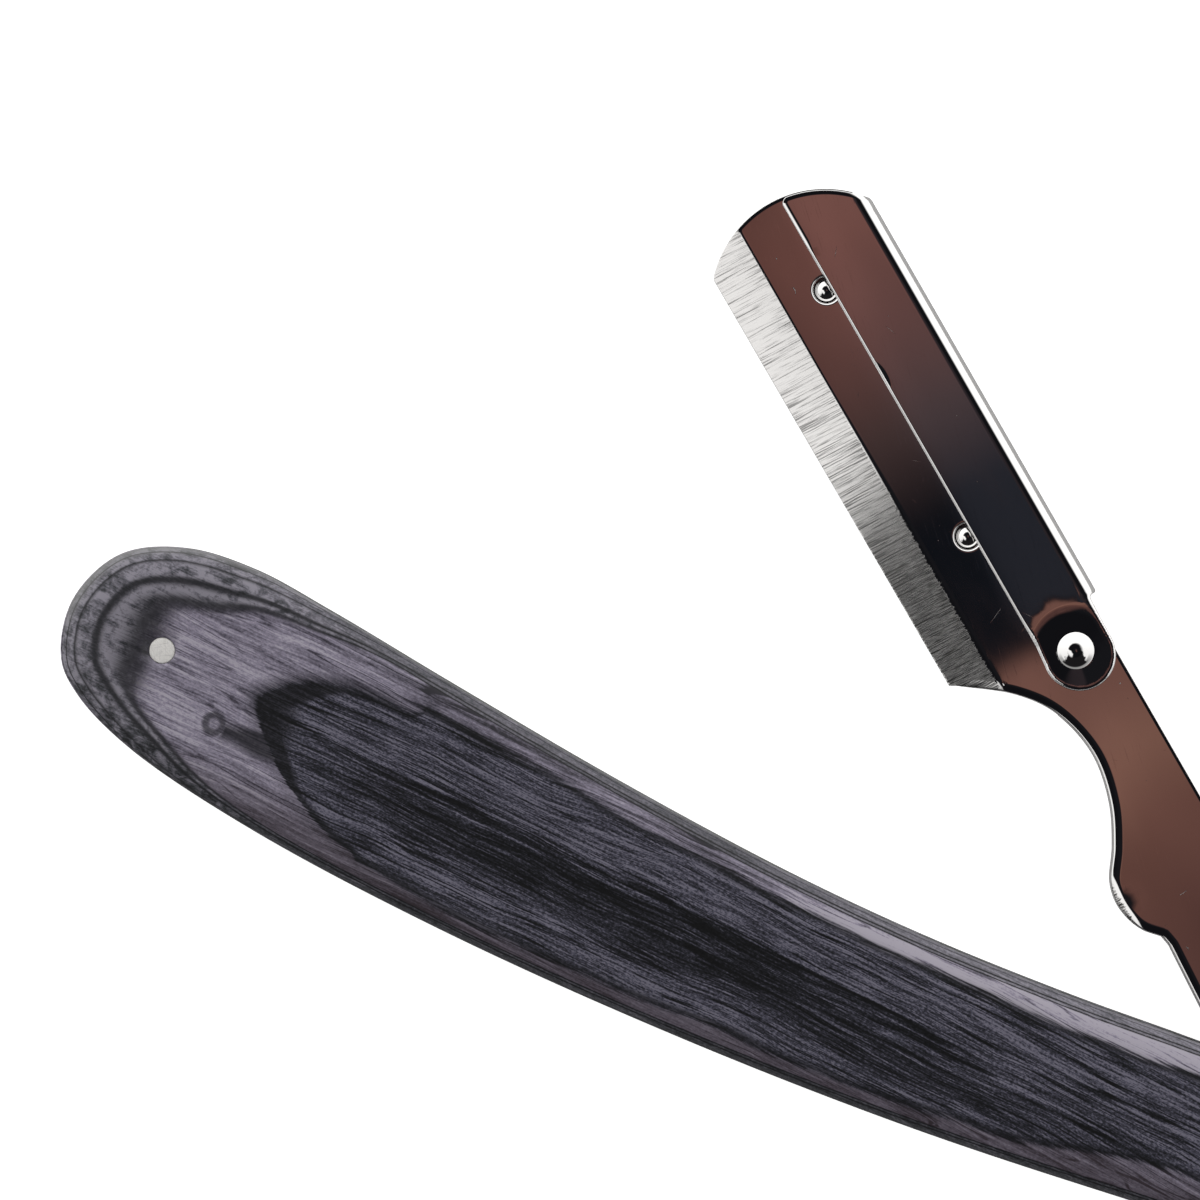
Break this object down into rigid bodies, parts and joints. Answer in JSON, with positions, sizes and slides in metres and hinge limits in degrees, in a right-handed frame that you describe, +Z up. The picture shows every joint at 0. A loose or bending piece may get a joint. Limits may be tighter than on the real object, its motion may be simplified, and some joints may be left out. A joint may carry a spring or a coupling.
{
  "type": "folding barber razor",
  "caption": "Folding barber's razor: two laminated wood scales and a polished steel arm whose head holds half a blade under a swinging U-shaped clamp.",
  "frame": {"origin": "on the pivot pin's axis, on the plane that the back scale lies on", "axes": "+X from the tail of the handle towards its pivot end, +Y towards the back edge of the handle, +Z up through its thickness, from the back scale to the front scale"},
  "size_m": [0.1495, 0.0776, 0.0108],
  "materials": {
    "laminated_wood": "dyed grey-black laminated wood, sanded through its veneers and satin sealed",
    "polished_steel": "mirror-polished stainless steel with fine hairline scratches and a ground bevel",
    "satin_steel": "filed and rubbed steel pin ends",
    "brass_washer": "turned brass",
    "black_fibre": "matte black vulcanised fibre"
  },
  "bodies": {
    "handle": {"back_scale": "laminated_wood", "front_scale": "laminated_wood", "tail_wedge": "black_fibre", "tail_pin": "satin_steel", "pivot_pin": "satin_steel", "pivot_washer_back": "brass_washer", "pivot_washer_front": "brass_washer"},
    "arm": {"blade_arm": "polished_steel", "clamp_rivet": "polished_steel", "clamp_rivet_burr": "polished_steel"},
    "clamp": {"swing_clamp": "polished_steel"},
    "leaf": {"back_leaf": "polished_steel", "upper_stud": "polished_steel", "lower_stud": "polished_steel"}
  },
  "joints": [
    {"name": "arm_fold", "type": "hinge", "parent": "handle", "child": "arm", "pos_m": [0, 0, 0.0054], "axis": [0, 0, 1], "range_deg": [-200, 36]},
    {"name": "clamp_swing", "type": "hinge", "parent": "arm", "child": "clamp", "pos_m": [-0.04189, 0.0346, 0.00555], "axis": [0, 0, -1], "range_deg": [0, 90]},
    {"name": "leaf_lift", "type": "hinge", "parent": "arm", "child": "leaf", "pos_m": [-0.03991, 0.03308, 0.0051], "axis": [-0.6095, -0.7928, 0], "range_deg": [0, 1.6]}
  ],
  "couplings": [
    {"joint": "leaf_lift", "follows": "clamp_swing", "ratio": 0.0177}
  ]
}
